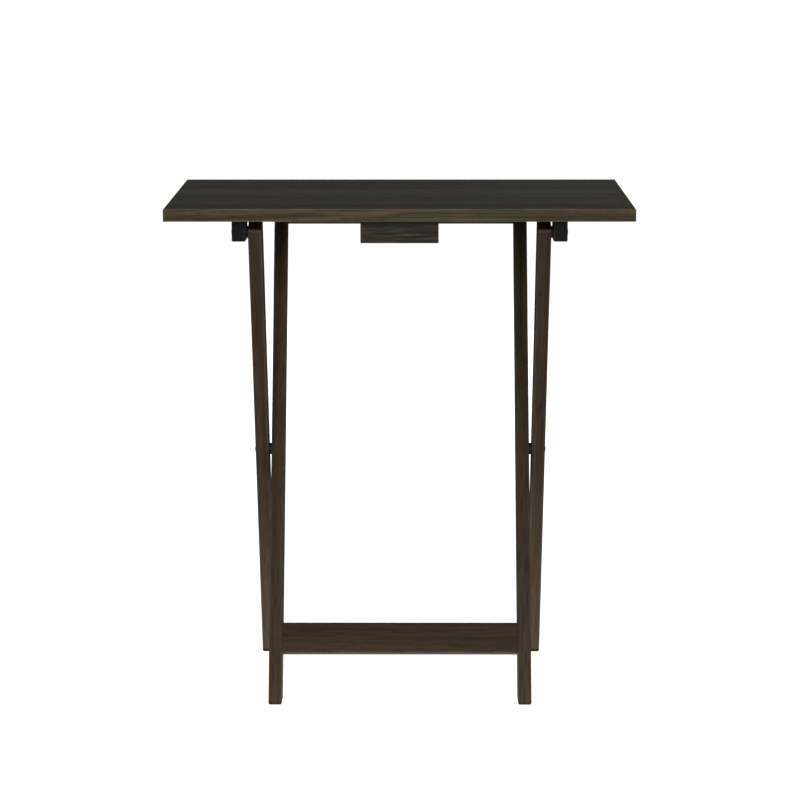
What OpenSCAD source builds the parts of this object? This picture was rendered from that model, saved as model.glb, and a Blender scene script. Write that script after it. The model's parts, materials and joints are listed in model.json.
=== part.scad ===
// Folding tray table: a veneered top on two crossed pairs of wooden legs.
// Origin on the floor under the middle of the top; +X right, +Y to the back, +Z up.

/* [Tabletop] */
// Width of the tabletop, left to right
top_w = 600; // [500:10:700]
// Depth of the tabletop, front to back
top_d = 400; // [370:10:480]
// Thickness of the finished tabletop
top_t = 16; // [14:1:20]
// Thickness of the face veneers
veneer_t = 0.6; // [0.4:0.1:1]
// Thickness of the wooden edge bands
band_t = 1.5; // [1:0.5:2]

/* [Stand] */
// Height of the tabletop above the floor
table_h = 660; // [600:10:720]
// Height of the centre pivots above the floor
mid_z = 314; // [290:2:330]
// Distance from the centre pivots to each foot, front to back
foot_spread = 138; // [120:2:150]
// Clear width between the inner legs
frame_w = 311; // [260:1:340]
// Thickness of a leg, left to right
leg_t = 18; // [16:1:20]
// Width of a leg, seen from the side
leg_w = 35; // [32:1:35]
// Radius of the eased edges of the legs
leg_ease = 2.5; // [1:0.5:3]
// Gap between an inner and an outer leg
leg_gap = 3.5; // [2.5:0.5:5]

/* [Rails] */
// Height of the lower stretcher
stretcher_h = 41; // [30:1:50]
// Height of the stretcher's lower edge above the floor
stretcher_z = 63.5; // [50:0.5:120]
// Thickness of the stretcher and the crossbar
rail_t = 18; // [15:1:20]
// Height of the upper crossbar
crossbar_h = 36; // [24:1:36]

/* [Blocks] */
// Height of the blocks under the tabletop
block_h = 30; // [28:1:34]
// Thickness of the blocks
block_t = 18; // [16:1:20]
// Length of a side block, front to back
side_block_l = 48; // [44:1:60]
// Width of the two centre blocks
centre_block_w = 100; // [80:5:140]
// Distance from the tabletop's front edge to the front block
front_block_inset = 22; // [20:1:24]
// Gap between a side block and its outer leg
block_gap = 2.5; // [2:0.5:4]

/* [Hardware] */
// Depth of the top pivots below the tabletop's underside
pivot_drop = 20; // [20:1:22]
// Diameter of the pivot bolts
bolt_d = 6; // [5:0.5:6]
// Diameter of the bolt heads and nut caps
head_d = 11; // [10:0.5:12]
// Diameter of the round spacers
spacer_d = 15.5; // [13:0.5:17]
// Diameter of the wood screws
screw_d = 4; // [3.5:0.5:4.5]
// Diameter of the dowels
dowel_d = 8; // [6:1:8]

/* [Hidden] */
$fn = 64;

// How far a cut runs past the face that it opens
over = 1;
// How far solids that are joined run into each other
eps = 0.01;
left = -1;
right = 1;

// Heights and angles of the crossed legs
under_z = table_h - top_t;
pivot_z = under_z - pivot_drop;
lean = atan(foot_spread / mid_z);
pivot_y = (pivot_z - mid_z) * tan(lean);
arm = (pivot_z - mid_z) / cos(lean);

// Places across the width, from the middle outwards
inner_x0 = frame_w / 2;
inner_x1 = inner_x0 + leg_t;
outer_x0 = inner_x1 + leg_gap;
outer_x1 = outer_x0 + leg_t;
block_x0 = outer_x1 + block_gap;
block_x1 = block_x0 + block_t;

// The upper ends of the legs: how far they pass the pivot, and their corner radius.
// Every corner stays inside pivot_drop of its pivot, so the top can swing over it.
outer_end = 12.5;
outer_end_r = 5;
inner_end = 15.5;
inner_end_r = 9;
foot_extra = 40;
foot_ease = 2;
slack = 0.05;

// Rails
rail_ease = 3;
crossbar_ease = 2;
stretcher_foot = (stretcher_z - mid_z - leg_w / 2 * sin(lean)) / cos(lean);
dowel_l = 36;
dowel_in_leg = 14;
dowel_fit = 0.1;
stretcher_dowel_off = 11;
stretcher_dowel_z = [for (k = [-1, 1]) stretcher_foot + stretcher_h / 2 + k * stretcher_dowel_off];
crossbar_dowel_off = [-10, 4];
crossbar_dowel_z = [for (off = crossbar_dowel_off) arm + off];
rail_y = -(leg_w - rail_t) / 2;

// Tabletop and blocks
block_ease = 1.5;
core_z = under_z + veneer_t;
core_t = top_t - 2 * veneer_t;
front_block_y = -top_d / 2 + front_block_inset;
stop_gap = 0.4;
crossbar_back = rail_t / 2 * cos(lean) + crossbar_h / 2 * sin(lean);
rear_block_y = pivot_y + crossbar_back + stop_gap;

// Screws: from below, through a block and into the core
screw_l = block_h + 8;
screw_head_d = 8;
screw_head_h = 2.6;
screw_tip = 4;
screw_tip_d = 1;
screw_fit = 0.1;
side_screw_off = 16;
centre_screw_off = 30;
side_screw_y = [-pivot_y - side_screw_off, -pivot_y + side_screw_off];
centre_screw_x = [-centre_screw_off, centre_screw_off];
front_screw_y = front_block_y + block_t / 2;
rear_screw_y = rear_block_y + block_t / 2;
side_screw_x = (block_x0 + block_x1) / 2;

// Pivot hardware
play = 0.2;
fit = 0.05;
head_h = 1.6;
socket_af = 4;
socket_h = 1;
sleeve_d = bolt_d + 2;
sleeve_l = 15;
cap_h = 1.8;
cap_recess = 1.2;
cap_wall = 1;
bolt_end = 3;

module wood(c = "#3f352c") { color(c) children(); }
module steel(c = "#4a4845") { color(c) children(); }

// ---- outlines ----

// A rectangle with true round corners, centred
module eased_rect(w, h, r) {
    square([w - 2 * r, h], center = true);
    square([w, h - 2 * r], center = true);
    for (i = [-1, 1], j = [-1, 1])
        translate([i * (w / 2 - r), j * (h / 2 - r)]) circle(r);
}

// A bar along X from x0 to x1, with eased long edges; its section lies in Y and Z
module bar_x(x0, x1, depth, height, r) {
    translate([x0, 0, 0])
        rotate([90, 0, 90])
            linear_extrude(x1 - x0)
                eased_rect(depth, height, r);
}

// A hole or a rod along X from x0 to x1
module rod_x(x0, x1, d) {
    translate([x0, 0, 0])
        rotate([0, 90, 0])
            cylinder(d = d, h = x1 - x0);
}

// Draws the part for the right side, or its mirror image for the left
module on_side(side) {
    if (side == left)
        mirror([1, 0, 0]) children();
    else
        children();
}

// The outer legs lean forward at the top, and the inner legs lean back
module outer_frame() { translate([0, 0, mid_z]) rotate([lean, 0, 0]) children(); }
module inner_frame() { translate([0, 0, mid_z]) rotate([-lean, 0, 0]) children(); }

// ---- legs ----

// The material outside a quarter circle, for rounding off a corner that points to +X +Y
module corner_waste(r) {
    difference() {
        square(r + 2 * over);
        circle(r);
    }
}

// A leg from inner face x0 outwards, its long edges eased and its upper corners rounded.
// Z runs along it, with the centre pivot at zero.
module leg_blank(x0, end, r) {
    bottom = -mid_z / cos(lean) - foot_extra;
    difference() {
        translate([x0 + leg_t / 2, 0, bottom])
            linear_extrude(arm + end - bottom) eased_rect(leg_t, leg_w, leg_ease);
        translate([x0 - over, 0, arm + end - r + slack]) rotate([90, 0, 90])
            linear_extrude(leg_t + 2 * over)
                for (k = [0, 1])
                    mirror([k, 0]) translate([leg_w / 2 - r + slack, 0]) corner_waste(r);
    }
}

// What is cut away at the floor: everything below it, and the foot's sharp side edges
module foot_waste(x0) {
    translate([x0 - over, -top_d / 2, -table_h]) cube([leg_t + 2 * over, top_d, table_h]);
    translate([x0 + leg_t / 2, top_d / 2, foot_ease - slack]) rotate([90, 0, 0])
        linear_extrude(top_d)
            for (k = [0, 1])
                mirror([k, 0]) translate([leg_t / 2 - foot_ease + slack, 0])
                    mirror([0, 1]) corner_waste(foot_ease);
}

module outer_leg(side) {
    wood() on_side(side) difference() {
        outer_frame() leg_blank(outer_x0, outer_end, outer_end_r);
        foot_waste(outer_x0);
        outer_frame() rod_x(outer_x0 - over, outer_x1 + over, bolt_d + 2 * fit);
        outer_frame() translate([0, 0, arm]) nut_hole(outer_x0, outer_x1 + over);
    }
}

module inner_leg(side) {
    wood("#3c332a") on_side(side) difference() {
        inner_frame() leg_blank(inner_x0, inner_end, inner_end_r);
        foot_waste(inner_x0);
        inner_frame() nut_hole(inner_x0, inner_x1 + over);
        inner_frame() for (z = concat(stretcher_dowel_z, crossbar_dowel_z))
            translate([0, z > 0 ? 0 : rail_y, z])
                rod_x(inner_x0 - over, inner_x0 + dowel_in_leg + over, dowel_d + dowel_fit);
    }
}

// ---- rails of the inner frame ----

// A rail between the inner legs, with its dowel holes; z_list holds the dowels' heights
module rail(height, ease, y, z, z_list) {
    inner_frame() difference() {
        translate([0, y, z]) bar_x(-inner_x0, inner_x0, rail_t, height, ease);
        for (side = [left, right], hz = z_list)
            on_side(side) translate([0, y, hz])
                rod_x(inner_x0 + dowel_in_leg - dowel_l - over, inner_x0 + over, dowel_d + dowel_fit);
    }
}

module stretcher() {
    wood("#3d3329")
        rail(stretcher_h, rail_ease, rail_y, stretcher_foot + stretcher_h / 2, stretcher_dowel_z);
}

module crossbar() {
    wood("#383028") rail(crossbar_h, crossbar_ease, 0, arm, crossbar_dowel_z);
}

module dowels(side, y, z_list) {
    wood("#c9a877") inner_frame() on_side(side) for (z = z_list)
        translate([0, y, z])
            rod_x(inner_x0 + dowel_in_leg - dowel_l, inner_x0 + dowel_in_leg, dowel_d);
}

// ---- pivot hardware, drawn along X on the pivot's own axis ----

// A domed bolt head whose flat side is at x = 0 and whose dome points to +X
module dome(h) {
    rim = 0.4;
    radius = (head_d * head_d / 4 + (h - rim) * (h - rim)) / 2 / (h - rim);
    rotate([0, 90, 0]) intersection() {
        cylinder(d = head_d, h = h);
        translate([0, 0, h - radius]) sphere(radius, $fn = 96);
    }
}

// A bolt with its head seated at x1 and its tip at x0
module bolt(x0, x1) {
    steel() difference() {
        union() {
            rod_x(x0, x1 + eps, bolt_d);
            translate([x1, 0, 0]) dome(head_h);
        }
        translate([x1 + head_h - socket_h, 0, 0])
            rotate([0, 90, 0])
                cylinder(d = socket_af / cos(30), h = socket_h + over, $fn = 6);
    }
}

// A cap nut whose cap sits in the recess at x0 and whose sleeve reaches outwards
module cap_nut(x0) {
    seat = x0 + cap_recess;
    steel() difference() {
        union() {
            translate([seat, 0, 0]) mirror([1, 0, 0]) dome(cap_h);
            rod_x(seat - eps, seat + sleeve_l, sleeve_d);
        }
        rod_x(seat + cap_wall, seat + sleeve_l + over, bolt_d + 2 * fit);
    }
}

// The stepped hole in a leg that takes a cap nut from the face x0
module nut_hole(x0, x1) {
    rod_x(x0 - over, x1, sleeve_d + 2 * fit);
    rod_x(x0 - over, x0 + cap_recess + play, head_d + 2 * play);
}

module top_pivot() { translate([0, -pivot_y, pivot_z]) children(); }
module mid_pivot() { translate([0, 0, mid_z]) children(); }

module top_bolt(side) {
    on_side(side) top_pivot() bolt(outer_x0 + cap_recess + bolt_end, block_x1 + play);
}

module top_nut(side) { on_side(side) top_pivot() cap_nut(outer_x0); }

module mid_bolt(side) {
    on_side(side) mid_pivot() bolt(inner_x0 + cap_recess + bolt_end, outer_x1);
}

module mid_nut(side) { on_side(side) mid_pivot() cap_nut(inner_x0); }

// A round spacer from x0 to x1
module spacer(side, x0, x1) {
    steel("#1e1c1a") on_side(side) difference() {
        rod_x(x0, x1, spacer_d);
        rod_x(x0 - over, x1 + over, bolt_d + 2 * fit);
    }
}

module top_spacer(side) { top_pivot() spacer(side, outer_x1 + play, block_x0 - play); }
module mid_spacer(side) { mid_pivot() spacer(side, inner_x1 + play, outer_x0); }

// ---- tabletop ----

// One screw, head down at the bottom of a block. With extra, it is widened into its hole,
// whose countersink runs out below the block.
module screw_shape(extra) {
    below = extra > 0 ? over : 0;
    mouth = (screw_head_d - screw_d) / screw_head_h * below;
    straight_l = extra > 0 ? screw_l + extra : screw_l - screw_tip;
    cylinder(d = screw_d + extra, h = straight_l);
    translate([0, 0, -below])
        cylinder(d1 = screw_head_d + extra + mouth, d2 = screw_d + extra, h = screw_head_h + below);
    if (extra == 0) translate([0, 0, straight_l]) cylinder(d1 = screw_d, d2 = screw_tip_d, h = screw_tip);
}

module side_screws(side, extra = 0) {
    on_side(side) for (y = side_screw_y)
        translate([side_screw_x, y, under_z - block_h]) screw_shape(extra);
}

module centre_screws(y, extra = 0) {
    for (x = centre_screw_x)
        translate([x, y, under_z - block_h]) screw_shape(extra);
}

module all_screw_holes() {
    side_screws(left, screw_fit);
    side_screws(right, screw_fit);
    centre_screws(front_screw_y, screw_fit);
    centre_screws(rear_screw_y, screw_fit);
}

module panel(w, d, z, t) { translate([-w / 2, -d / 2, z]) cube([w, d, t]); }

module top_core() {
    color("#8c6f4e") difference() {
        panel(top_w - 2 * band_t, top_d - 2 * band_t, core_z, core_t);
        all_screw_holes();
    }
}

module top_veneer() {
    wood("#38372f") panel(top_w - 2 * band_t, top_d - 2 * band_t, table_h - veneer_t, veneer_t);
}

module underside_veneer() {
    wood("#3a352c") difference() {
        panel(top_w - 2 * band_t, top_d - 2 * band_t, under_z, veneer_t);
        all_screw_holes();
    }
}

// Front and rear bands run the full width, and the end bands fit between them
module long_band(y) { wood("#463e30") translate([-top_w / 2, y, under_z]) cube([top_w, band_t, top_t]); }

module end_band(x) {
    wood("#463e30") translate([x, -top_d / 2 + band_t, under_z])
        cube([band_t, top_d - 2 * band_t, top_t]);
}

// ---- blocks ----

// A block under the top: eased along its lower edges, its top face on the underside
module block(x, y, w, d) {
    translate([x, y, under_z]) mirror([0, 0, 1]) intersection() {
        translate([0, d, -block_ease]) rotate([90, 0, 0])
            linear_extrude(d) translate([w / 2, (block_h + block_ease) / 2])
                eased_rect(w, block_h + block_ease, block_ease);
        translate([-over, 0, 0]) cube([w + 2 * over, d, block_h + over]);
    }
}

module side_block(side) {
    wood("#26251f") on_side(side) difference() {
        block(block_x0, -pivot_y - side_block_l / 2, block_t, side_block_l);
        top_pivot() rod_x(block_x0 - over, block_x1 + over, bolt_d + 2 * fit);
        side_screws(right, screw_fit);
    }
}

module centre_block(y, screw_y) {
    wood("#38332b") difference() {
        block(-centre_block_w / 2, y, centre_block_w, block_t);
        centre_screws(screw_y, screw_fit);
    }
}

// ---- the nodes ----

top_core();
top_veneer();
underside_veneer();
long_band(-top_d / 2);  // edge_band_front
long_band(top_d / 2 - band_t);  // edge_band_rear
end_band(-top_w / 2);  // edge_band_left
end_band(top_w / 2 - band_t);  // edge_band_right
side_block(left);  // side_block_left
side_block(right);  // side_block_right
centre_block(front_block_y, front_screw_y);  // front_block
centre_block(rear_block_y, rear_screw_y);  // rear_block
steel("#8d8a85") side_screws(left);  // side_block_screws_left
steel("#8d8a85") side_screws(right);  // side_block_screws_right
steel("#8d8a85") centre_screws(front_screw_y);  // front_block_screws
steel("#8d8a85") centre_screws(rear_screw_y);  // rear_block_screws
top_bolt(left);  // top_bolt_left
top_bolt(right);  // top_bolt_right
top_spacer(left);  // top_spacer_left
top_spacer(right);  // top_spacer_right
top_nut(left);  // top_nut_left
top_nut(right);  // top_nut_right
outer_leg(left);  // outer_leg_left
outer_leg(right);  // outer_leg_right
mid_bolt(left);  // mid_bolt_left
mid_bolt(right);  // mid_bolt_right
mid_spacer(left);  // mid_spacer_left
mid_spacer(right);  // mid_spacer_right
mid_nut(left);  // mid_nut_left
mid_nut(right);  // mid_nut_right
inner_leg(left);  // inner_leg_left
inner_leg(right);  // inner_leg_right
stretcher();
crossbar();
dowels(left, rail_y, stretcher_dowel_z);  // stretcher_dowels_left
dowels(right, rail_y, stretcher_dowel_z);  // stretcher_dowels_right
dowels(left, 0, crossbar_dowel_z);  // crossbar_dowels_left
dowels(right, 0, crossbar_dowel_z);  // crossbar_dowels_right
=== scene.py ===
"""Folding tray table: espresso-stained wood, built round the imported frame.

Everything is in metres in the row frame: +X right, +Y back, +Z up, the floor at zero.
"""

import json
import math

import bmesh
import bpy
from mathutils import Matrix, Vector


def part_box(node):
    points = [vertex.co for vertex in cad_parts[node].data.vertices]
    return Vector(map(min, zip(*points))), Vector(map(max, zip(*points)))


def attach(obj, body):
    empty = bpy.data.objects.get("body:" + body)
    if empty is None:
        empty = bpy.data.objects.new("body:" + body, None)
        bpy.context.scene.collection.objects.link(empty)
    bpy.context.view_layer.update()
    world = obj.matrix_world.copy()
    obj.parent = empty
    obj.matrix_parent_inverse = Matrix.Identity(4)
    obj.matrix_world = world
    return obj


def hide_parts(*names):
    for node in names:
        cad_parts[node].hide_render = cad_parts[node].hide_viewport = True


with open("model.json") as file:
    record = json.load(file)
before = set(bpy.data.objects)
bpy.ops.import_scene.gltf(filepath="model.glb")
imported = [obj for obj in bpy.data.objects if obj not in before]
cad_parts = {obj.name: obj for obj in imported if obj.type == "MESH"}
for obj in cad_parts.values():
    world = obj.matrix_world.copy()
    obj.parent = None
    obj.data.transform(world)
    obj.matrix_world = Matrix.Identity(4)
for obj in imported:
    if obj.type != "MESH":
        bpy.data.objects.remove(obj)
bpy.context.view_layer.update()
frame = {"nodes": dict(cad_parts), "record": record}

MM = 0.001
SIDES = {"left": -1, "right": 1}

# ---- places taken from the frame ----
JOINTS = {j["name"]: j for j in frame["record"]["behaviour"]["joints"]}
MID_PIVOT = Vector(JOINTS["leg_fold"]["pos_m"])
TOP_PIVOT = Vector(JOINTS["top_lift"]["pos_m"])
LEAN = math.atan2(-TOP_PIVOT.y, TOP_PIVOT.z - MID_PIVOT.z)
ARM = (TOP_PIVOT - MID_PIVOT).length

# ---- sizes that the frame's boxes don't give ----
LEG_W = 35 * MM
LEG_EASE = 2.5 * MM
OUTER_END, OUTER_END_R = 12.5 * MM, 5 * MM
INNER_END, INNER_END_R = 15.5 * MM, 9 * MM
RAIL_T = 18 * MM
RAIL_H = {"stretcher": 41 * MM, "crossbar": 36 * MM}
RAIL_EASE = {"stretcher": 3 * MM, "crossbar": 2 * MM}
DOWEL_D = 8 * MM
BOLT_D = 6 * MM
SLEEVE_D = 8 * MM
HEAD_D = 11 * MM
NUT_RECESS = 1.2 * MM
NUT_DEPTH_FIT = 0.2 * MM
NUT_FIT = 0.4 * MM
SPACER_EASE = 0.4 * MM
FIT = 0.05 * MM
ARRIS = 1.1 * MM
SEAM = 0.08 * MM
BLOCK_EASE = 1.5 * MM

# ---- wood screws: THREAD_ROOT is a share of the shank's radius, CROSS_TURN is in radians ----
SCREW_D = 4 * MM
SCREW_HEAD_D = 8 * MM
SCREW_HEAD_H = 2.6 * MM
SCREW_HEAD_EASE = 0.3 * MM
SCREW_RIM = 0.25 * MM
THREAD_FROM = 12 * MM
THREAD_TIP = 2 * MM
THREAD_TURNS = 14
THREAD_ROOT = 0.8
CROSS_HALF_L, CROSS_HALF_W, CROSS_DEPTH = 2.4 * MM, 0.45 * MM, 1.3 * MM
CROSS_TURN = 0.6

# ---- how far a cutter starts outside a block or a screw, and outside a leg ----
OUTSIDE = 1 * MM
LEG_OUTSIDE = 2 * MM

# ---- how finely round shapes are drawn ----
ROD_STEPS = 48
SCREW_STEPS = 32
SPACER_STEPS = 64
CORNER_STEPS = 8
RIM_STEPS = 4
SEAM_STEPS = 1
ARRIS_STEPS = 4
EASE_STEPS = 5
SHARP_ANGLE = math.radians(35)
BEVEL_ANGLE = math.radians(30)
WELD = 1e-7

# ---- where an edge takes the worn tone and painted highlight, as the cosine between the surface and the nearest flat ----
FLAT_COSINE = 0.995
RUBBED_AND_LIT_COSINE = 0.9


# ---------------------------------------------------------------- mesh tools


def new_object(name, bm):
    """A mesh object made from bm, which is freed."""
    mesh = bpy.data.meshes.new(name)
    bm.normal_update()
    bm.to_mesh(mesh)
    bm.free()
    obj = bpy.data.objects.new(name, mesh)
    bpy.context.scene.collection.objects.link(obj)
    return obj


def apply_modifiers(obj):
    """Turns obj's modifiers into plain mesh."""
    graph = bpy.context.evaluated_depsgraph_get()
    mesh = bpy.data.meshes.new_from_object(obj.evaluated_get(graph))
    obj.modifiers.clear()
    obj.data = mesh
    return obj


def bevel(obj, width, segments):
    """Rounds every edge sharper than BEVEL_ANGLE."""
    mod = obj.modifiers.new("ease", "BEVEL")
    mod.width = width
    mod.segments = segments
    mod.limit_method = "ANGLE"
    mod.angle_limit = BEVEL_ANGLE
    mod.harden_normals = False
    return apply_modifiers(obj)


def cut(obj, cutter):
    """Takes cutter away from obj and deletes it."""
    mod = obj.modifiers.new("cut", "BOOLEAN")
    mod.operation = "DIFFERENCE"
    mod.solver = "EXACT"
    mod.object = cutter
    apply_modifiers(obj)
    bpy.data.objects.remove(cutter)


def smooth(obj):
    """Smooth shading, with edges sharper than SHARP_ANGLE kept crisp."""
    obj.data.shade_smooth()
    bm = bmesh.new()
    bm.from_mesh(obj.data)
    for edge in bm.edges:
        edge.smooth = len(edge.link_faces) == 2 and edge.calc_face_angle() < SHARP_ANGLE
    bm.to_mesh(obj.data)
    bm.free()
    return obj


def box_mesh(lo, hi):
    """A box between two corners, as a bmesh."""
    bm = bmesh.new()
    bmesh.ops.create_cube(bm, size=1.0)
    bmesh.ops.scale(bm, vec=hi - lo, verts=bm.verts)
    bmesh.ops.translate(bm, vec=(lo + hi) / 2, verts=bm.verts)
    return bm


def prism_x(outline, x0, x1):
    """A prism along X from x0 to x1; outline is a list of (y, z)."""
    bm = bmesh.new()
    face = bm.faces.new([bm.verts.new((x0, y, z)) for y, z in outline])
    grown = bmesh.ops.extrude_face_region(bm, geom=[face])
    moved = [v for v in grown["geom"] if isinstance(v, bmesh.types.BMVert)]
    bmesh.ops.translate(bm, vec=(x1 - x0, 0, 0), verts=moved)
    bmesh.ops.recalc_face_normals(bm, faces=bm.faces)
    return bm


def lathe(profile, steps):
    """A closed solid turned about Z; profile is a closed ring or an open line of (radius, z)."""
    bm = bmesh.new()
    rings = []
    for i in range(steps):
        a = 2 * math.pi * i / steps
        rings.append([bm.verts.new((r * math.cos(a), r * math.sin(a), z)) for r, z in profile])
    for ring, after in zip(rings, rings[1:] + rings[:1]):
        for k in range(len(profile) - 1):
            bm.faces.new((ring[k], after[k], after[k + 1], ring[k + 1]))
    bmesh.ops.remove_doubles(bm, verts=bm.verts, dist=WELD)
    bmesh.ops.recalc_face_normals(bm, faces=bm.faces)
    return bm


def rod(x0, x1, diameter, centre):
    """A plain rod along X, used to cut bores."""
    bm = bmesh.new()
    r = diameter / 2
    bmesh.ops.create_cone(
        bm, cap_ends=True, segments=ROD_STEPS, radius1=r, radius2=r, depth=x1 - x0
    )
    middle = Matrix.Translation(((x0 + x1) / 2, centre.y, centre.z))
    turn = Matrix.Rotation(math.pi / 2, 4, "Y")
    bmesh.ops.transform(bm, matrix=middle @ turn, verts=bm.verts)
    return new_object("cutter", bm)


def mirror_x(obj, side):
    """Mirrors a piece drawn on the right to the left side."""
    if side == "left":
        obj.data.transform(Matrix.Scale(-1, 4, (1, 0, 0)))
        obj.data.flip_normals()


def arc(cx, cy, r, start, end, steps):
    """Points on an arc, angles in degrees."""
    out = []
    for i in range(steps + 1):
        a = math.radians(start + (end - start) * i / steps)
        out.append((cx + r * math.cos(a), cy + r * math.sin(a)))
    return out


def wear_and_highlight(obj, flats):
    """Marks rounded edges for the worn tone and painted highlight: 1 on an edge, 0 where the
    surface faces as a flat.
    """
    mesh = obj.data
    values = []
    for corner in mesh.corner_normals:
        best = max(abs(corner.vector.dot(flat)) for flat in flats)
        rubbed_and_lit = (FLAT_COSINE - best) / (FLAT_COSINE - RUBBED_AND_LIT_COSINE)
        values.append(max(0.0, min(1.0, rubbed_and_lit)))
    attribute = mesh.attributes.new("wear_and_highlight", "FLOAT", "CORNER")
    attribute.data.foreach_set("value", values)
    return obj


def finish_piece(obj, body, material, slot, *nodes):
    """Gives a piece its material and body, and hides the CAD nodes that it stands for; slot is not
    used.
    """
    obj.data.materials.clear()
    obj.data.materials.append(material)
    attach(obj, body)
    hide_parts(*nodes)


# ---------------------------------------------------------------- shader tools


class Graph:
    """Short ways to add nodes to a node tree and to join them."""

    def __init__(self, node_tree):
        self.nodes = node_tree.nodes
        self.links = node_tree.links

    def give(self, socket, value):
        """Sets a socket to a number or a colour, or joins another node's output to it."""
        if isinstance(value, (int, float)):
            socket.default_value = value
        elif isinstance(value, tuple):
            socket.default_value = (*value, 1.0)
        else:
            self.links.new(value, socket)

    def noise(self, vector, scale, detail, rough):
        """Noise around 0.5."""
        node = self.nodes.new("ShaderNodeTexNoise")
        node.inputs["Scale"].default_value = scale
        node.inputs["Detail"].default_value = detail
        node.inputs["Roughness"].default_value = rough
        self.links.new(vector, node.inputs["Vector"])
        return node.outputs["Fac"]

    def stretch(self, vector, scale):
        """vector with each of its parts multiplied."""
        node = self.nodes.new("ShaderNodeVectorMath")
        node.operation = "MULTIPLY"
        node.inputs[1].default_value = scale
        self.links.new(vector, node.inputs[0])
        return node.outputs["Vector"]

    def separate(self, vector):
        """The three parts of vector, by the names X, Y and Z."""
        node = self.nodes.new("ShaderNodeSeparateXYZ")
        self.links.new(vector, node.inputs["Vector"])
        return node.outputs

    def calc(self, operation, *values):
        """One step of arithmetic on numbers or on other nodes' outputs."""
        node = self.nodes.new("ShaderNodeMath")
        node.operation = operation
        for socket, value in zip(node.inputs, values):
            self.give(socket, value)
        return node.outputs["Value"]

    def times(self, value, factor):
        return self.calc("MULTIPLY", value, factor)

    def plus(self, first, second):
        return self.calc("ADD", first, second)

    def remap(self, value, low, high, to_low=0.0, to_high=1.0):
        """A smooth step from to_low to to_high, as value goes from low to high."""
        node = self.nodes.new("ShaderNodeMapRange")
        node.interpolation_type = "SMOOTHSTEP"
        node.inputs["From Min"].default_value = low
        node.inputs["From Max"].default_value = high
        node.inputs["To Min"].default_value = to_low
        node.inputs["To Max"].default_value = to_high
        self.links.new(value, node.inputs["Value"])
        return node.outputs["Result"]

    def mix(self, factor, a, b, mode="MIX"):
        """A colour between a and b."""
        node = self.nodes.new("ShaderNodeMix")
        node.data_type = "RGBA"
        node.blend_type = mode
        self.give(node.inputs["Factor"], factor)
        self.give(node.inputs["A"], a)
        self.give(node.inputs["B"], b)
        return node.outputs["Result"]

    def grey(self, colour, value):
        """colour multiplied by a grey value."""
        node = self.nodes.new("ShaderNodeCombineColor")
        for channel in ("Red", "Green", "Blue"):
            self.links.new(value, node.inputs[channel])
        return self.mix(1.0, colour, node.outputs["Color"], "MULTIPLY")


class Finish(Graph):
    """The node tree of one new material, with a Principled shader in it."""

    def __init__(self, name):
        self.material = bpy.data.materials.new(name)
        self.material.use_nodes = True
        super().__init__(self.material.node_tree)
        self.nodes.clear()
        self.out = self.nodes.new("ShaderNodeOutputMaterial")
        self.shader = self.nodes.new("ShaderNodeBsdfPrincipled")
        self.links.new(self.shader.outputs["BSDF"], self.out.inputs["Surface"])

    def set(self, name, value):
        """Sets an input of the shader, to a value or to another node's output."""
        self.give(self.shader.inputs[name], value)

    def bump(self, height, strength, depth):
        """Relief from height, depth in metres."""
        node = self.nodes.new("ShaderNodeBump")
        node.inputs["Strength"].default_value = strength
        node.inputs["Distance"].default_value = depth
        self.links.new(height, node.inputs["Height"])
        self.links.new(node.outputs["Normal"], self.shader.inputs["Normal"])

    def object_place(self):
        """The place on the piece, in metres."""
        return self.nodes.new("ShaderNodeTexCoord").outputs["Object"]


# ---------------------------------------------------------------- wood

# How a wood looks: its ring pitch, the weights and spread of its three patterns, the patterns'
# frequencies along and across the grain, per metre, the tint of its warmer patches, and how
# far its edges are lightened, as worn edges with a painted highlight.
VENEER = {
    "pitch": 17 * MM,
    "figure": 0.08,
    "streak": 0.9,
    "cloud": 0.35,
    "spread": 0.17,
    "streaks": (2.2, 420),
    "clouds": (0.9, 28),
    "warm": (1.08, 1.0, 0.92),
    "rubbed_and_lit": 1.0,
}
LIPPING = {**VENEER, "pitch": 9 * MM, "figure": 0.1, "streaks": (3.5, 800), "clouds": (1.6, 90)}
SOLID = {
    "pitch": 8 * MM,
    "figure": 0.07,
    "streak": 0.6,
    "cloud": 0.6,
    "spread": 0.24,
    "streaks": (3.5, 420),
    "clouds": (3.0, 32),
    "warm": (1.12, 1.0, 0.88),
    "rubbed_and_lit": 0.35,
}
BLOCKS = {**SOLID, "figure": 0.04, "streak": 0.9, "streaks": (24, 480), "clouds": (7, 60)}

# Finer patterns that every stained wood has, as frequencies along and across the grain, per metre
WARM_PATCHES = (6, 22)
RUBBED_AND_LIT_PATCHES = (30, 150)
FIBRES = (22, 1500)
PORES = (38, 1250)
END_DOTS = (1100, 1500)
RING_WANDER = (1.7, 9, 9)

# A noise stays near 0.5, so the pair that remap is given sets how much of the surface a pattern
# takes, and how soft its borders are.
SOFT = (0.3, 0.7)
WARM_STEP = (0.42, 0.68)
PORE_STEP = (0.58, 0.70)
END_DOT_STEP = (0.35, 0.7)
END_FACING_STEP = (0.6, 0.92)
RUBBED_AND_LIT_STEP = (0.3, 0.72)

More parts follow.
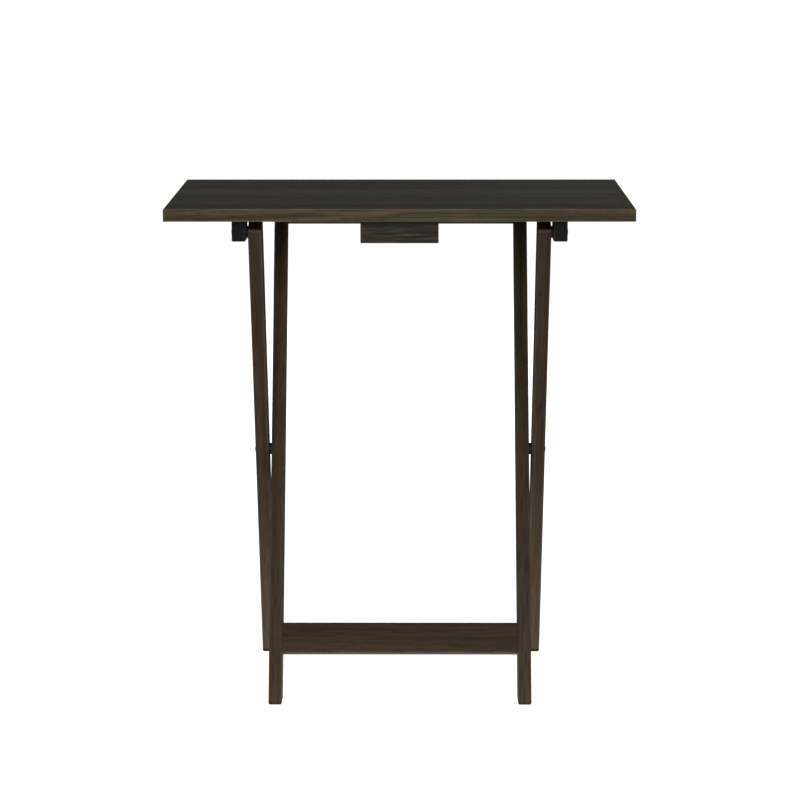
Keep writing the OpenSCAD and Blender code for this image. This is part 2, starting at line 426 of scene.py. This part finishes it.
# RING_SLANT is how far the rings lean across the grain, WANDER_PHASE how far they wander, in
# radians, and a bump is its strength and its depth. Gloss is two steps from a finish's roughness.
RING_SLANT = 0.6
WANDER_PHASE = 30.0
PORE_STRENGTH = 0.55
PORE_ROUGHNESS = 0.15
PORE_SHADE = 0.25
FIBRE_SHADES = (0.8, 1.2)
END_SHADES = (0.4, 0.9)
RUBBED_AND_LIT_RANGE = (0.25, 0.95)
STAINED_GLOSS = (-0.06, 0.08)
FIBRE_RELIEF, STREAK_RELIEF, PORE_RELIEF = 0.5, 0.6, 0.9
STAINED_BUMP = 0.35, 0.14 * MM
RAW_GRAIN = (60, 700, 700)
RAW_ROUGHNESS = (0.72, 0.85)
RAW_BUMP = 0.3, 0.1 * MM
SEED_STEP = (0.37, 0.23, 0.31)
# A lighter tone for worn edges, which also stands as a painted highlight along the arrises
WORN_AND_HIGHLIGHT = (0.19, 0.160, 0.125)


def scaled(values, factor):
    """Every value multiplied by factor."""
    return tuple(v * factor for v in values)


def around(middle, steps):
    """The values that lie these steps from middle."""
    return tuple(middle + step for step in steps)


def along_grain(finish, grain_turn, seed=0.0):
    """Object coordinates turned so that the grain runs along X, and the same turn of the normal."""
    coords = finish.nodes.new("ShaderNodeTexCoord")
    turned = []
    for output, offset in (("Object", seed), ("Normal", 0.0)):
        turn = finish.nodes.new("ShaderNodeMapping")
        turn.vector_type = "TEXTURE"
        turn.inputs["Rotation"].default_value = grain_turn
        turn.inputs["Location"].default_value = scaled(SEED_STEP, offset)
        finish.links.new(coords.outputs[output], turn.inputs["Vector"])
        turned.append(turn.outputs["Vector"])
    return turned


def growth_lines(finish, grain, pitch):
    """Long wandering lines of the growth rings, 0 to 1, pitch apart."""
    split = finish.separate(grain)
    across = finish.plus(split["Y"], finish.times(split["Z"], RING_SLANT))
    wander = finish.noise(finish.stretch(grain, RING_WANDER), 1.0, detail=2.0, rough=0.45)
    phase = finish.times(across, 2 * math.pi / pitch)
    phase = finish.plus(phase, finish.times(wander, WANDER_PHASE))
    return finish.remap(finish.calc("SINE", phase), -1.0, 1.0)


def stained_wood(name, dark, light, grain_turn, seed, kind, roughness=0.5, specular=0.12):
    """Stained and lacquered wood. Grain runs along X once grain_turn is taken out."""
    finish = Finish(name)
    grain, facing = along_grain(finish, grain_turn, seed)

    def layer(scales, detail, rough=0.6):
        along, across = scales
        place = finish.stretch(grain, (along, across, across))
        return finish.noise(place, 1.0, detail, rough)

    # Stain: the growth lines, streaks and clouds between the dark and the light colour
    streaks = layer(kind["streaks"], detail=4.0, rough=0.62)
    tone = finish.times(growth_lines(finish, grain, kind["pitch"]), kind["figure"])
    tone = finish.plus(tone, finish.times(streaks, kind["streak"]))
    tone = finish.plus(tone, finish.times(layer(kind["clouds"], detail=3.0), kind["cloud"]))
    middle = (kind["figure"] + kind["streak"] + kind["cloud"]) / 2
    tone = finish.remap(tone, middle - kind["spread"], middle + kind["spread"])
    colour = finish.mix(tone, dark, light)
    reddened = finish.mix(1.0, colour, kind["warm"], "MULTIPLY")
    warmth = finish.remap(layer(WARM_PATCHES, detail=2.0), *WARM_STEP)
    colour = finish.mix(warmth, colour, reddened)

    # Open pores and fine fibres
    pores = finish.remap(layer(PORES, detail=1.0, rough=0.4), *PORE_STEP)
    fibres = layer(FIBRES, detail=3.0)
    colour = finish.mix(finish.times(pores, PORE_STRENGTH), colour, scaled(dark, PORE_SHADE))
    colour = finish.grey(colour, finish.remap(fibres, *SOFT, *FIBRE_SHADES))

    # End grain, where the surface faces along the grain
    end_dark, end_light = (scaled(dark, shade) for shade in END_SHADES)
    dots = finish.remap(layer(END_DOTS, detail=2.0), *END_DOT_STEP)
    end_colour = finish.mix(dots, end_dark, end_light)
    facing_end = finish.calc("ABSOLUTE", finish.separate(facing)["X"])
    colour = finish.mix(finish.remap(facing_end, *END_FACING_STEP), colour, end_colour)

    # Worn edges lightened, which also paints a highlight along the arrises
    mark = finish.nodes.new("ShaderNodeAttribute")
    mark.attribute_name = "wear_and_highlight"
    share = scaled(RUBBED_AND_LIT_RANGE, kind["rubbed_and_lit"])
    patches = finish.remap(layer(RUBBED_AND_LIT_PATCHES, detail=3.0), *RUBBED_AND_LIT_STEP, *share)
    colour = finish.mix(finish.times(mark.outputs["Fac"], patches), colour, WORN_AND_HIGHLIGHT)
    finish.set("Base Color", colour)

    gloss = finish.remap(streaks, *SOFT, *around(roughness, STAINED_GLOSS))
    finish.set("Roughness", finish.plus(gloss, finish.times(pores, PORE_ROUGHNESS)))
    finish.set("Specular IOR Level", specular)
    ridges = finish.times(fibres, FIBRE_RELIEF)
    ridges = finish.plus(ridges, finish.times(streaks, STREAK_RELIEF))
    finish.bump(finish.calc("SUBTRACT", ridges, finish.times(pores, PORE_RELIEF)), *STAINED_BUMP)
    return finish.material


def raw_wood(name, dark, light):
    """Bare wood or board that is hidden inside."""
    finish = Finish(name)
    grain, _ = along_grain(finish, ALONG_X)
    fibre = finish.noise(finish.stretch(grain, RAW_GRAIN), 1.0, detail=4.0, rough=0.6)
    finish.set("Base Color", finish.mix(finish.remap(fibre, *SOFT), dark, light))
    finish.set("Roughness", finish.remap(fibre, *SOFT, *RAW_ROUGHNESS))
    finish.bump(fibre, *RAW_BUMP)
    return finish.material


# ---------------------------------------------------------------- metal and plastic

# Frequencies per metre, then gloss and bump as for wood
MOTTLE = 420.0
MOTTLE_STEP = (0.35, 0.7)
MOTTLE_SPREAD = 0.25
SCRATCHES = (400, 4200, 900)
SCRATCH_GLOSS = (-0.07, 0.1)
SCRATCH_BUMP = 0.2, 0.04 * MM
MOULD_GRAIN = 2600.0
MOULD_CLOUD = 160.0
MOULD_LIGHTER = 1.8
MOULD_ROUGHNESS = (0.5, 0.68)
MOULD_BUMP = 0.4, 0.05 * MM


def plated_steel(name, base, rough):
    """Plated steel with faint mottling and brushed scratches."""
    finish = Finish(name)
    place = finish.object_place()
    cloud = finish.noise(place, MOTTLE, detail=4.0, rough=0.6)
    scratch = finish.noise(finish.stretch(place, SCRATCHES), 1.0, detail=2.0, rough=0.5)
    dull, bright = scaled(base, 1 - MOTTLE_SPREAD), scaled(base, 1 + MOTTLE_SPREAD)
    finish.set("Base Color", finish.mix(finish.remap(cloud, *MOTTLE_STEP), dull, bright))
    finish.set("Roughness", finish.remap(scratch, *SOFT, *around(rough, SCRATCH_GLOSS)))
    finish.set("Metallic", 1.0)
    finish.bump(scratch, *SCRATCH_BUMP)
    return finish.material


def moulded_plastic(name, base):
    """Matt black nylon with a fine moulded grain."""
    finish = Finish(name)
    place = finish.object_place()
    grain = finish.noise(place, MOULD_GRAIN, detail=2.0, rough=0.5)
    cloud = finish.noise(place, MOULD_CLOUD, detail=2.0, rough=0.5)
    finish.set("Base Color", finish.mix(cloud, base, scaled(base, MOULD_LIGHTER)))
    finish.set("Roughness", finish.remap(grain, *SOFT, *MOULD_ROUGHNESS))
    finish.bump(grain, *MOULD_BUMP)
    return finish.material


# ---------------------------------------------------------------- the table's materials


def grain_up(lean):
    """The turn of a grain that runs up a leg with this lean."""
    upright = Matrix.Rotation(-math.pi / 2, 4, "Y")
    return tuple((Matrix.Rotation(lean, 4, "X") @ upright).to_euler())


ALONG_X = (0, 0, 0)
ALONG_Y = (0, 0, math.pi / 2)

# The darkest and the lightest stain of each wood, as linear colours
TOP = (0.016, 0.0158, 0.0128), (0.078, 0.0765, 0.0615)
EDGE = (0.036, 0.0276, 0.0134), (0.100, 0.0780, 0.0395)
OUTER_LEG = (0.029, 0.0184, 0.0108), (0.070, 0.0445, 0.0255)
INNER_LEG = (0.024, 0.0150, 0.0080), (0.062, 0.0385, 0.0200)
RAIL = (0.021, 0.0125, 0.0062), (0.058, 0.0345, 0.0165)
UNDER = (0.017, 0.0155, 0.0120), (0.060, 0.0550, 0.0420)
CENTRE_BLOCK = (0.012, 0.0100, 0.0070), (0.072, 0.0610, 0.0430)
SIDE_BLOCK = (0.007, 0.0085, 0.006), (0.031, 0.0350, 0.024)

# The number after a wood's grain is its seed, so that no two woods show the same pattern, and the
# last numbers are roughnesses.
TOP_WOOD = stained_wood("top_wood", *TOP, ALONG_X, 1.0, VENEER, 0.62, specular=0.1)
UNDER_WOOD = stained_wood("under_wood", *UNDER, ALONG_X, 2.0, VENEER, 0.66)
LONG_EDGE_WOOD = stained_wood("long_edge_wood", *EDGE, ALONG_X, 3.0, LIPPING)
END_EDGE_WOOD = stained_wood("end_edge_wood", *EDGE, ALONG_Y, 4.0, LIPPING)
SIDE_BLOCK_WOOD = stained_wood("side_block_wood", *SIDE_BLOCK, ALONG_Y, 5.0, BLOCKS, 0.55)
CENTRE_BLOCK_WOOD = stained_wood("centre_block_wood", *CENTRE_BLOCK, ALONG_X, 6.0, BLOCKS)
CORE_BOARD = raw_wood("core_board", (0.22, 0.15, 0.09), (0.38, 0.27, 0.17))
DOWEL_WOOD = raw_wood("dowel_wood", (0.42, 0.29, 0.17), (0.6, 0.44, 0.27))
BRONZED = plated_steel("bronzed_steel", (0.075, 0.062, 0.052), 0.38)
ZINC = plated_steel("zinc_plate", (0.42, 0.41, 0.38), 0.36)
NYLON = moulded_plastic("black_nylon", (0.011, 0.010, 0.009))


# ---------------------------------------------------------------- tabletop

FLATS = [Vector((1, 0, 0)), Vector((0, 1, 0)), Vector((0, 0, 1))]


def eased_box(name, lo, hi, ease, segments, keep=None):
    """A box with rounded edges; keep(middle) says, by its middle, whether an edge is rounded."""
    bm = box_mesh(lo, hi)
    if keep:
        edges = [e for e in bm.edges if keep((e.verts[0].co + e.verts[1].co) / 2)]
        bmesh.ops.bevel(
            bm,
            geom=edges,
            offset=ease,
            segments=segments,
            affect="EDGES",
            profile=0.5,
            clamp_overlap=True,
        )
        obj = new_object(name, bm)
    else:
        obj = bevel(new_object(name, bm), ease, segments)
    return wear_and_highlight(smooth(obj), FLATS)


def make_band(place):
    """One edge band, with the four edges of its outward face rounded."""
    node = f"edge_band_{place}"
    lo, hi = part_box(node)
    centre = (lo + hi) / 2
    at_end = place in SIDES
    outward = Vector((centre.x, 0, 0) if at_end else (0, centre.y, 0)).normalized()

    def outer_edge(middle):
        return (middle - centre).dot(outward) > FIT

    band = eased_box(f"band_{place}", lo, hi, ARRIS, ARRIS_STEPS, outer_edge)
    wood = END_EDGE_WOOD if at_end else LONG_EDGE_WOOD
    finish_piece(band, "tabletop", wood, "stained_edge", node)


def make_top():
    """The two veneers and the four bands round the CAD's own core."""
    for name, node, wood in (
        ("tabletop_face", "top_veneer", TOP_WOOD),
        ("tabletop_underside", "underside_veneer", UNDER_WOOD),
    ):
        sheet = eased_box(name, *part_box(node), SEAM, SEAM_STEPS)
        finish_piece(sheet, "tabletop", wood, "stained_veneer", node)
    for place in ("front", "rear", "left", "right"):
        make_band(place)


# ---------------------------------------------------------------- blocks and screws


def screw_places(node):
    """Where the screws of one node stand: the middles of its two ends, at the heads' level."""
    lo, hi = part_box(node)
    r = SCREW_HEAD_D / 2
    if hi.x - lo.x > hi.y - lo.y:
        return [Vector((x, (lo.y + hi.y) / 2, lo.z)) for x in (lo.x + r, hi.x - r)]
    return [Vector(((lo.x + hi.x) / 2, y, lo.z)) for y in (lo.y + r, hi.y - r)]


def screw_hole(place, height):
    """A countersunk hole, for cutting, from below a block to above it."""
    head, shank = SCREW_HEAD_D / 2 + FIT, SCREW_D / 2 + FIT
    profile = [(0, -OUTSIDE), (head + SCREW_HEAD_EASE, -OUTSIDE), (head, 0)]
    profile += [(shank, SCREW_HEAD_H), (shank, height), (0, height)]
    obj = new_object("cutter", lathe(profile, ROD_STEPS))
    obj.data.transform(Matrix.Translation(place))
    return obj


def make_block(name, node, screws, wood, pivot=False):
    """A block under the top, with its screw holes and, on a side block, the pivot bore."""
    lo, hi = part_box(node)
    block = bevel(new_object(name, box_mesh(lo, hi)), BLOCK_EASE, ARRIS_STEPS)
    for place in screw_places(screws):
        cut(block, screw_hole(place, hi.z - lo.z + OUTSIDE))
    if pivot:
        cut(block, rod(lo.x - OUTSIDE, hi.x + OUTSIDE, BOLT_D + 2 * FIT, TOP_PIVOT))
    wear_and_highlight(smooth(block), FLATS)
    finish_piece(block, "tabletop", wood, "stained_block", node)


def screw_profile(length):
    """Half of a wood screw's section: countersunk head, plain shank, thread and point."""
    head, shank = SCREW_HEAD_D / 2, SCREW_D / 2
    profile = [(0, 0), (head - SCREW_HEAD_EASE, 0), (head, SCREW_RIM), (shank, SCREW_HEAD_H)]
    pitch = (length - THREAD_FROM - THREAD_TIP) / THREAD_TURNS
    for i in range(THREAD_TURNS):
        z = THREAD_FROM + i * pitch
        profile += [(shank * THREAD_ROOT, z), (shank, z + pitch / 2)]
    return profile + [(shank * THREAD_ROOT, length - THREAD_TIP), (0, length)]


def make_screws(name, node):
    """The screws of one block, each with a countersunk head and a cross recess."""
    lo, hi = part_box(node)
    cross_lo = Vector((-CROSS_HALF_L, -CROSS_HALF_W, -OUTSIDE))
    cross_hi = Vector((CROSS_HALF_L, CROSS_HALF_W, CROSS_DEPTH))
    joined = bmesh.new()
    for place in screw_places(node):
        one = new_object("screw", lathe(screw_profile(hi.z - lo.z), SCREW_STEPS))
        for turn in (0, math.pi / 2):
            arm = box_mesh(cross_lo, cross_hi)
            spin = Matrix.Rotation(turn + CROSS_TURN, 3, "Z")
            bmesh.ops.rotate(arm, cent=(0, 0, 0), matrix=spin, verts=arm.verts)
            cut(one, new_object("cutter", arm))
        one.data.transform(Matrix.Translation(place))
        joined.from_mesh(one.data)
        bpy.data.objects.remove(one)
    screws = smooth(new_object(name, joined))
    finish_piece(screws, "tabletop", ZINC, "zinc_screw", node)


def make_blocks():
    for side in SIDES:
        node, screws = f"side_block_{side}", f"side_block_screws_{side}"
        make_block(f"pivot_block_{side}", node, screws, SIDE_BLOCK_WOOD, pivot=True)
        make_screws(f"pivot_block_screws_{side}", screws)
    for place in ("front", "rear"):
        node, screws = f"{place}_block", f"{place}_block_screws"
        make_block(f"stop_block_{place}", node, screws, CENTRE_BLOCK_WOOD)
        make_screws(f"stop_block_screws_{place}", screws)


# ---------------------------------------------------------------- legs


def dowel_places(rail):
    """The axes of a rail's two dowels: the lower one is also the nearer to the front."""
    lo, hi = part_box(f"{rail}_dowels_right")
    reach = Vector((0, DOWEL_D / 2, DOWEL_D / 2))
    return [lo + reach, hi - reach]


def leg_outline(lean, end, r):
    """Side view of a leg in the row frame, as (y, z) points: level foot, rounded upper corners."""
    half = LEG_W / 2
    level = ARM + end - r
    tips = arc(half - r, level, r, 0, 90, CORNER_STEPS)
    tips += arc(-half + r, level, r, 90, 180, CORNER_STEPS)

    def to_row(y, z):
        row_y = y * math.cos(lean) - z * math.sin(lean)
        return (row_y, MID_PIVOT.z + y * math.sin(lean) + z * math.cos(lean))

    def foot(y):
        return to_row(y, (-MID_PIVOT.z - y * math.sin(lean)) / math.cos(lean))

    return [foot(half)] + [to_row(y, z) for y, z in tips] + [foot(-half)]


OUTER_SEED, INNER_SEED = 11.0, 15.0

# The two kinds of leg: lean, length past ARM, radius of the upper corners, body and stain
LEGS = {
    "outer": (LEAN, OUTER_END, OUTER_END_R, "outer_legs", OUTER_LEG),
    "inner": (-LEAN, INNER_END, INNER_END_R, "inner_frame", INNER_LEG),
}


def make_leg(which, side, holes, seed):
    """One leg, drawn on the right and mirrored; a hole is (x0, x1, diameter, centre)."""
    lean, end, r, body, colours = LEGS[which]
    lo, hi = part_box(f"{which}_leg_right")
    name = f"long_leg_{which}_{side}"
    outline = leg_outline(lean, end, r)
    leg = bevel(new_object(name, prism_x(outline, lo.x, hi.x)), LEG_EASE, EASE_STEPS)
    for hole in holes:
        cut(leg, rod(*hole))
    mirror_x(leg, side)
    across = Vector((1, 0, 0))
    along = Vector((0, -math.sin(lean), math.cos(lean)))
    wear_and_highlight(smooth(leg), [across, along, along.cross(across), Vector((0, 0, 1))])
    wood = stained_wood(f"{name}_wood", *colours, grain_up(lean), seed, SOLID)
    finish_piece(leg, body, wood, "stained_leg_wood", f"{which}_leg_{side}")


def nut_holes(x0, x1, centre):
    """The bore for a cap nut's sleeve right through a leg, and the recess for its cap at x0."""
    return [
        (x0 - LEG_OUTSIDE, x1 + LEG_OUTSIDE, SLEEVE_D + 2 * FIT, centre),
        (x0 - LEG_OUTSIDE, x0 + NUT_RECESS + NUT_DEPTH_FIT, HEAD_D + NUT_FIT, centre),
    ]


def make_legs():
    lo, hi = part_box("outer_leg_right")
    outer_holes = nut_holes(lo.x, hi.x, TOP_PIVOT)
    outer_holes.append((lo.x - LEG_OUTSIDE, hi.x + LEG_OUTSIDE, BOLT_D + 2 * FIT, MID_PIVOT))
    lo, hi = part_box("inner_leg_right")
    inner_holes = nut_holes(lo.x, hi.x, MID_PIVOT)
    dowel_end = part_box("crossbar_dowels_right")[1].x
    for place in dowel_places("stretcher") + dowel_places("crossbar"):
        inner_holes.append((lo.x - LEG_OUTSIDE, dowel_end + FIT, DOWEL_D + 2 * FIT, place))
    for k, side in enumerate(SIDES):
        make_leg("outer", side, outer_holes, OUTER_SEED + k)
        make_leg("inner", side, inner_holes, INNER_SEED + k)


# ---------------------------------------------------------------- rails between the inner legs


def make_rail(name, rail, seed):
    """A rail that leans with the inner legs, with its long edges rounded."""
    lo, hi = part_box(rail)
    half = Vector(((hi.x - lo.x) / 2, RAIL_T / 2, RAIL_H[rail] / 2))

    def long_edge(middle):
        return abs(middle.x) < FIT

    obj = eased_box(name, -half, half, RAIL_EASE[rail], EASE_STEPS, long_edge)
    obj.data.transform(Matrix.Translation((lo + hi) / 2) @ Matrix.Rotation(-LEAN, 4, "X"))
    for side in SIDES:
        dowel_lo, dowel_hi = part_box(f"{rail}_dowels_{side}")
        for place in dowel_places(rail):
            cut(obj, rod(dowel_lo.x - FIT, dowel_hi.x + FIT, DOWEL_D + 2 * FIT, place))
    wood = stained_wood(f"{name}_wood", *RAIL, ALONG_X, seed, SOLID, specular=0.1)
    finish_piece(obj, "inner_frame", wood, "stained_leg_wood", rail)


def make_rails():
    make_rail("lower_stretcher", "stretcher", 7.0)
    make_rail("upper_crossbar", "crossbar", 8.0)


# ---------------------------------------------------------------- spacers


def make_spacer(name, node, body):
    """A round spacer with softened rims."""
    lo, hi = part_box(node)
    outer, inner, half = (hi.z - lo.z) / 2, BOLT_D / 2 + FIT, (hi.x - lo.x) / 2
    e = SPACER_EASE
    rims = arc(outer - e, half - e, e, 90, 0, RIM_STEPS)
    rims += arc(outer - e, -half + e, e, 0, -90, RIM_STEPS)
    bm = lathe([(inner, half)] + rims + [(inner, -half), (inner, half)], SPACER_STEPS)
    place = Matrix.Translation((lo + hi) / 2) @ Matrix.Rotation(math.pi / 2, 4, "Y")
    bmesh.ops.transform(bm, matrix=place, verts=bm.verts)
    finish_piece(smooth(new_object(name, bm)), body, NYLON, "black_spacer", node)


def make_spacers():
    for side in SIDES:
        make_spacer(f"pivot_spacer_{side}", f"top_spacer_{side}", "top_pivots")
        make_spacer(f"centre_spacer_{side}", f"mid_spacer_{side}", "outer_legs")


# ---------------------------------------------------------------- CAD nodes that stay


def repaint():
    """Better materials for the CAD nodes whose shape is already right."""
    finishes = {"core": CORE_BOARD, "dowels": DOWEL_WOOD, "bolt": BRONZED, "nut": BRONZED}
    for node, obj in frame["nodes"].items():
        for word, material in finishes.items():
            if word in node:
                for place in obj.material_slots:
                    place.material = material


# ---------------------------------------------------------------- stage, light, camera

# Sizes in metres; reflect and glow are shares of white, and the world's levels are strengths
FLOOR_HALF = 12
BACKDROP_R = 11.5
PAPER_ROUGH = 0.9
FLOOR_REFLECT, FLOOR_GLOW = 0.8, 0.92
BACKDROP_GLOW = 1.3
BACKDROP_STEPS = 5
WORLD_LOW, WORLD_HIGH, WORLD_BEHIND = 0.37, 0.19, 0.4
LOW_TO_HIGH, FRONT_TO_BACK = (-0.9, 0.1), (0.1, 0.9)


def camera_only(obj):
    """The stage shows in the picture, but neither lights the table nor mirrors in it."""
    obj.visible_diffuse = False
    obj.visible_glossy = False
    obj.visible_shadow = False


def paper(name, reflect, glow):
    """Even pale paper, which glows so that it needs no light."""
    finish = Finish(name)
    finish.set("Base Color", (reflect, reflect, reflect))
    finish.set("Roughness", PAPER_ROUGH)
    finish.set("Specular IOR Level", 0.0)
    finish.set("Emission Color", (1, 1, 1))
    finish.set("Emission Strength", glow)
    return finish


def one_sided(finish):
    """Lets the floor be seen through from below, so that the underside can be looked at."""
    geometry = finish.nodes.new("ShaderNodeNewGeometry")
    clear = finish.nodes.new("ShaderNodeBsdfTransparent")
    either = finish.nodes.new("ShaderNodeMixShader")
    finish.links.new(geometry.outputs["Backfacing"], either.inputs["Fac"])
    finish.links.new(finish.shader.outputs["BSDF"], either.inputs[1])
    finish.links.new(clear.outputs["BSDF"], either.inputs[2])
    finish.links.new(either.outputs["Shader"], finish.out.inputs["Surface"])
    return finish


def make_stage():
    """A pale floor inside a pale backdrop."""
    bm = bmesh.new()
    bmesh.ops.create_grid(bm, x_segments=1, y_segments=1, size=FLOOR_HALF)
    floor = new_object("floor", bm)
    finish = one_sided(paper("floor_paper", FLOOR_REFLECT, FLOOR_GLOW))
    floor.data.materials.append(finish.material)
    camera_only(floor)
    bm = bmesh.new()
    bmesh.ops.create_icosphere(bm, subdivisions=BACKDROP_STEPS, radius=BACKDROP_R)
    backdrop = new_object("backdrop", bm)
    backdrop.data.materials.append(paper("backdrop_paper", 0.0, BACKDROP_GLOW).material)
    camera_only(backdrop)


def make_world():
    """Dim studio surroundings: brighter below, as from a pale floor, and darker behind."""
    world = bpy.data.worlds.new("studio")
    bpy.context.scene.world = world
    world.use_nodes = True
    graph = Graph(world.node_tree)
    direction = graph.separate(graph.nodes.new("ShaderNodeTexCoord").outputs["Generated"])
    glow = graph.remap(direction["Z"], *LOW_TO_HIGH, WORLD_LOW, WORLD_HIGH)
    shade = graph.remap(direction["Y"], *FRONT_TO_BACK, 1.0, WORLD_BEHIND)
    background = graph.nodes["Background"]
    graph.give(background.inputs["Strength"], graph.times(glow, shade))
    graph.give(background.inputs["Color"], (1, 1, 1))


def add_light(name, place, aim, size, power, mirrored=True):
    """A soft light that the camera doesn't see: size is width and height, power is in watts."""
    data = bpy.data.lights.new(name, "AREA")
    data.shape = "RECTANGLE"
    data.size, data.size_y = size
    data.energy = power
    obj = bpy.data.objects.new(name, data)
    obj.location = place
    obj.rotation_euler = (Vector(aim) - Vector(place)).to_track_quat("-Z", "Y").to_euler()
    obj.visible_camera = False
    obj.visible_glossy = mirrored
    bpy.context.scene.collection.objects.link(obj)


def make_lights():
    add_light("front_softbox", (0.3, -3.5, 1.55), (0, 0, 0.3), (1.8, 1.2), power=63)
    add_light("low_fill", (0, -3.0, 0.3), (0, 0, 0.45), (1.4, 0.5), power=7)
    add_light("top_softbox", (-0.3, -0.4, 2.6), (0, 0, 0.4), (2.4, 2.0), power=12)
    place = (0.6, 3.4, 1.6)
    add_light("back_softbox", place, (0, 0, 0.3), (2.0, 1.4), power=35, mirrored=False)
    for side, sign in SIDES.items():
        place = (sign * 3.2, 0.5, 1.5)
        add_light(f"{side}_softbox", place, (0, 0, 0.35), (1.6, 1.2), power=16, mirrored=False)
    add_light("floor_bounce", (0, 0.03, 0.004), (0, 0.03, 1.0), (1.0, 0.4), power=1.5)


# The camera's place in metres, its angles in degrees, and its lens and sensor in millimetres
CAMERA_PLACE = (0.0194, -3.8681, 1.047)
CAMERA_DOWN, CAMERA_ROLL, CAMERA_LEFT = 9.145, 0.04, 0.287
CAMERA_LENS, CAMERA_SENSOR = 130.9, 36
CAMERA_SHIFT = -0.04
CAMERA_REACH = 200


def make_camera():
    """The photograph's viewpoint: in front, a little right of the middle and above the top."""
    data = bpy.data.cameras.new("camera")
    data.sensor_width = CAMERA_SENSOR
    data.lens = CAMERA_LENS
    data.shift_y = CAMERA_SHIFT
    data.clip_end = CAMERA_REACH
    camera = bpy.data.objects.new("camera", data)
    camera.rotation_mode = "XYZ"
    camera.location = CAMERA_PLACE
    angles = (90 - CAMERA_DOWN, CAMERA_ROLL, CAMERA_LEFT)
    camera.rotation_euler = tuple(math.radians(angle) for angle in angles)
    bpy.context.scene.collection.objects.link(camera)
    bpy.context.scene.camera = camera


make_top()
make_blocks()
make_legs()
make_rails()
make_spacers()
repaint()
make_stage()
make_world()
make_lights()
make_camera()
bpy.context.scene.view_settings.view_transform = "Standard"
